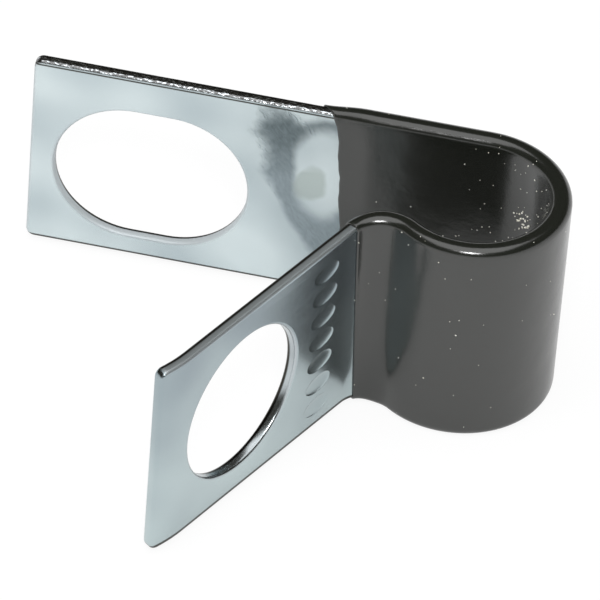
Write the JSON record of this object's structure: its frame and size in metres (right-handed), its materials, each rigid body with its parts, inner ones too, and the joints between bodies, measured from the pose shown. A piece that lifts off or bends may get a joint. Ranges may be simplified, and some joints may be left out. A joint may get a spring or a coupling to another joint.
{
  "type": "p clip",
  "caption": "Open vinyl-dipped steel p clip that cushions a round cable bundle and bolts down through a slot and a round hole",
  "frame": {"origin": "on the axis of the loop, at the middle of the strap's width", "axes": "+Z along the axis of the loop; the straight back leg lies along X and ends on the -X side, and the front leg opens towards -Y"},
  "size_m": [0.0386, 0.0305, 0.0168],
  "materials": {
    "steel_strap": "bright zinc plate, satin",
    "vinyl_coat": "glossy dipped soft vinyl"
  },
  "bodies": {
    "root": {"steel_strap": "steel_strap", "vinyl_coat": "vinyl_coat"}
  },
  "joints": []
}
